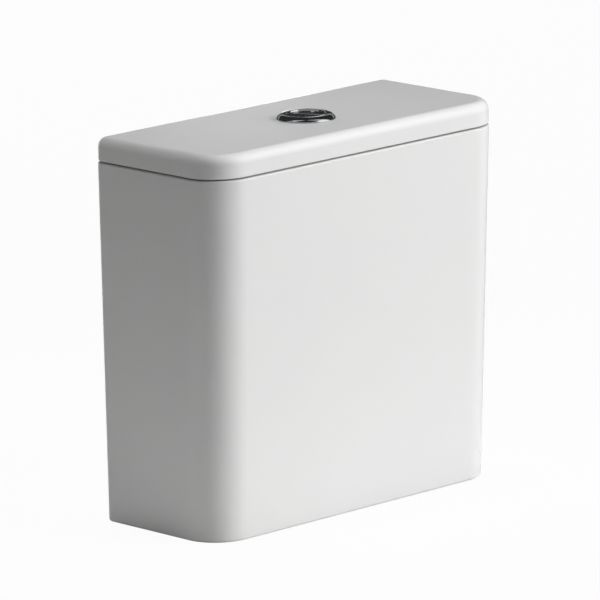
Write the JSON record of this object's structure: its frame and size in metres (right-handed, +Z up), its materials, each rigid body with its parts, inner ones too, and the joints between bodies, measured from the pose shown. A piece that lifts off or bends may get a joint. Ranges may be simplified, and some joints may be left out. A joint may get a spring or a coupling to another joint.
{
  "type": "toilet cistern",
  "caption": "Close-coupled ceramic toilet cistern with a lift-off lid, a split chrome push button, a flush valve and a float-operated fill valve.",
  "frame": {"origin": "centre of the bounding box at the foot, on the surface that the tank stands on", "axes": "+X to the right seen from the front, +Y towards the wall behind the tank, +Z up"},
  "size_m": [0.388, 0.1679, 0.381],
  "materials": {
    "glazed_china": "gloss white glaze on vitreous china",
    "chrome_plate": "polished chrome plate",
    "white_plastic": "moulded white plastic, satin",
    "grey_plastic": "moulded grey plastic, satin",
    "blue_plastic": "moulded blue plastic, satin",
    "green_plastic": "moulded green plastic, satin",
    "black_rubber": "moulded black rubber, matt",
    "black_foam": "closed-cell black foam, matt",
    "red_silicone": "red silicone rubber, satin",
    "spring_steel": "drawn stainless spring wire",
    "stainless_steel": "drawn stainless rod",
    "zinc_steel": "bright zinc-plated steel"
  },
  "bodies": {
    "tank": {"tank_body": "glazed_china", "valve_base": "white_plastic", "base_washer": "black_rubber", "valve_back_nut": "white_plastic", "coupling_gasket": "black_foam", "valve_cage": "white_plastic", "valve_head": "blue_plastic", "lever_pin": "stainless_steel", "coupling_bolts": "zinc_steel", "upper_seal_washers": "black_rubber", "upper_plate_washers": "zinc_steel", "lower_seal_washers": "black_rubber", "lower_plate_washers": "zinc_steel", "bolt_nuts": "zinc_steel", "inlet_riser": "white_plastic", "inlet_washer": "black_rubber", "inlet_back_nut": "white_plastic", "inlet_filter": "grey_plastic", "riser_sleeve": "white_plastic", "fill_valve_head": "grey_plastic", "diaphragm": "black_rubber", "fill_valve_cap": "blue_plastic", "float_arm_pin": "stainless_steel"},
    "lid": {"tank_lid": "glazed_china", "button_bezel": "chrome_plate", "bezel_washer": "black_rubber", "button_nut": "white_plastic", "button_guide": "white_plastic", "full_button_spring": "spring_steel", "half_button_spring": "spring_steel"},
    "full_button": {"full_flush_button": "chrome_plate", "full_push_rod": "white_plastic"},
    "half_button": {"half_flush_button": "chrome_plate", "half_push_rod": "white_plastic"},
    "full_lever": {"full_flush_lever": "blue_plastic"},
    "half_lever": {"half_flush_lever": "green_plastic"},
    "flush_valve": {"overflow_tube": "white_plastic", "flush_seal": "red_silicone", "seal_retainer": "white_plastic", "lift_bracket": "blue_plastic", "flush_float": "grey_plastic"},
    "half_float": {"half_flush_float": "green_plastic"},
    "fill_float": {"float_cup": "grey_plastic", "adjusting_rod": "white_plastic", "adjusting_clip": "blue_plastic"},
    "float_arm": {"float_arm": "grey_plastic", "pilot_seal": "red_silicone"}
  },
  "joints": [
    {"name": "lid_lift", "type": "slide", "parent": "tank", "child": "lid", "axis": [0, 0, 1], "range_m": [0, 0.15]},
    {"name": "full_press", "type": "slide", "parent": "lid", "child": "full_button", "axis": [0, 0, -1], "range_m": [0, 0.005], "stiffness_N_per_m": 400, "springref_m": -0.005, "deforming": ["full_button_spring"]},
    {"name": "half_press", "type": "slide", "parent": "lid", "child": "half_button", "axis": [0, 0, -1], "range_m": [0, 0.005], "stiffness_N_per_m": 400, "springref_m": -0.005, "deforming": ["half_button_spring"]},
    {"name": "full_lever_rock", "type": "hinge", "parent": "tank", "child": "full_lever", "pos_m": [0, -0.011, 0.318], "axis": [0, -1, 0], "range_deg": [0, 28.5]},
    {"name": "half_lever_rock", "type": "hinge", "parent": "tank", "child": "half_lever", "pos_m": [0, -0.001, 0.318], "axis": [0, 1, 0], "range_deg": [0, 28.5]},
    {"name": "flush_valve_lift", "type": "slide", "parent": "tank", "child": "flush_valve", "axis": [0, 0, 1], "range_m": [0, 0.0096]},
    {"name": "half_float_rise", "type": "slide", "parent": "tank", "child": "half_float", "axis": [0, 0, 1], "range_m": [0, 0.025]},
    {"name": "fill_float_rise", "type": "slide", "parent": "tank", "child": "fill_float", "axis": [0, 0, 1], "range_m": [0, 0.01]},
    {"name": "float_arm_rock", "type": "hinge", "parent": "tank", "child": "float_arm", "pos_m": [-0.134, 0.005, 0.286], "axis": [0, -1, 0], "range_deg": [0, 22]}
  ],
  "couplings": [
    {"joint": "full_lever_rock", "follows": "full_press", "rad_per_m": 94.372},
    {"joint": "flush_valve_lift", "follows": "full_press", "ratio": 1.8182},
    {"joint": "half_lever_rock", "follows": "half_press", "rad_per_m": 94.372},
    {"joint": "float_arm_rock", "follows": "fill_float_rise", "rad_per_m": 36.717}
  ]
}
